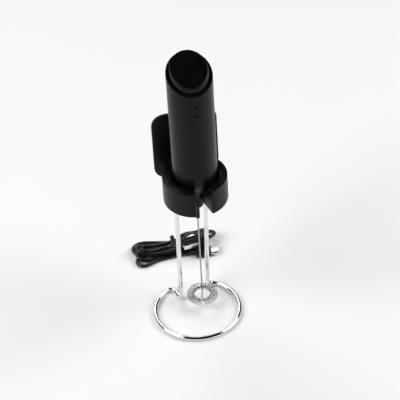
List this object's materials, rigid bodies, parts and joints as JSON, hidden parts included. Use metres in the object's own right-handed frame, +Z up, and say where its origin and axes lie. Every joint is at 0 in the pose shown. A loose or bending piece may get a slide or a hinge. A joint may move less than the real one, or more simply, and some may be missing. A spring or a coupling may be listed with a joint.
{
  "type": "milk frother",
  "caption": "Cordless milk frother with a slanted press cap and coil whisk, hung in a slotted collar on a bent-wire stand with a wall plate, with its charging lead.",
  "frame": {"origin": "middle of the box round the stand and the frother, on the table; the frother stands 5.9 mm to +X of it and 4.4 mm to +Y", "axes": "+Z up along the frother; the holder's slot, the indicator lights and the low side of the cap face -Y, the plate faces +Y"},
  "size_m": [0.0704, 0.122, 0.237],
  "materials": {
    "satin_black": "satin soft-touch black",
    "holder_black": "fine matte black",
    "cap_black": "fine satin black",
    "chrome": "bright plated",
    "steel": "drawn stainless wire",
    "motor_steel": "zinc plated",
    "brass": "turned",
    "nickel": "bright nickel",
    "rubber_black": "moulded",
    "plug_black": "moulded soft PVC",
    "cable_black": "extruded PVC, slightly glossy",
    "board_green": "solder mask",
    "cell_blue": "shrink sleeve",
    "foam_grey": "closed-cell foam tape",
    "lens_smoke": "smoked lens",
    "inner_white": "natural",
    "lead_red": "insulated wire"
  },
  "bodies": {
    "stand": {"wire_stand": "chrome", "stand_holder": "holder_black", "adhesive_pad": "foam_grey"},
    "frother": {"housing": "satin_black", "button_gasket": "rubber_black", "switch_board": "board_green", "tact_switch": "motor_steel", "chassis": "inner_white", "battery_cell": "cell_blue", "battery_tab_negative": "nickel", "battery_tab_positive": "nickel", "main_board": "board_green", "charge_board": "board_green", "usb_c_port": "nickel", "led_lens_lower": "lens_smoke", "led_lens_upper": "lens_smoke", "motor_can": "motor_steel", "motor_end_cap": "inner_white", "motor_cushion": "rubber_black", "motor_magnets": "rubber_black", "neck_bush": "brass", "neck_seal": "rubber_black", "motor_lead_red": "lead_red", "motor_lead_black": "rubber_black"},
    "power_button": {"button_cap": "cap_black"},
    "drive": {"motor_shaft": "steel", "motor_rotor": "motor_steel", "drive_coupling": "brass"},
    "whisk": {"whisk_plug": "rubber_black", "whisk_shaft": "steel", "whisk_coil": "steel"},
    "charging_cable": {"cable_hank": "cable_black", "cable_lead_a": "cable_black", "cable_lead_c": "cable_black", "cable_tie": "rubber_black", "usb_a_shell": "nickel", "usb_a_tongue": "inner_white", "usb_a_overmould": "plug_black", "usb_a_strain_relief": "plug_black", "usb_c_shell": "nickel", "usb_c_tongue": "plug_black", "usb_c_overmould": "plug_black", "usb_c_strain_relief": "plug_black"}
  },
  "joints": [
    {"name": "frother_lift", "type": "slide", "parent": "stand", "child": "frother", "axis": [0, 0, 1], "range_m": [0, 0.09]},
    {"name": "cap_press", "type": "slide", "parent": "frother", "child": "power_button", "axis": [0, 0, -1], "range_m": [0, 0.0006], "stiffness_N_per_m": 2000, "springref_m": -0.0003},
    {"name": "drive_spin", "type": "hinge", "parent": "frother", "child": "drive", "pos_m": [0.0059, 0.00442, 0.112], "axis": [0, 0, 1], "continuous": true},
    {"name": "whisk_pull", "type": "slide", "parent": "drive", "child": "whisk", "axis": [0, 0, -1], "range_m": [0, 0.0075]},
    {"name": "cable_move", "type": "slide", "parent": "stand", "child": "charging_cable", "axis": [0, 1, 0], "range_m": [0, 0.1]}
  ]
}
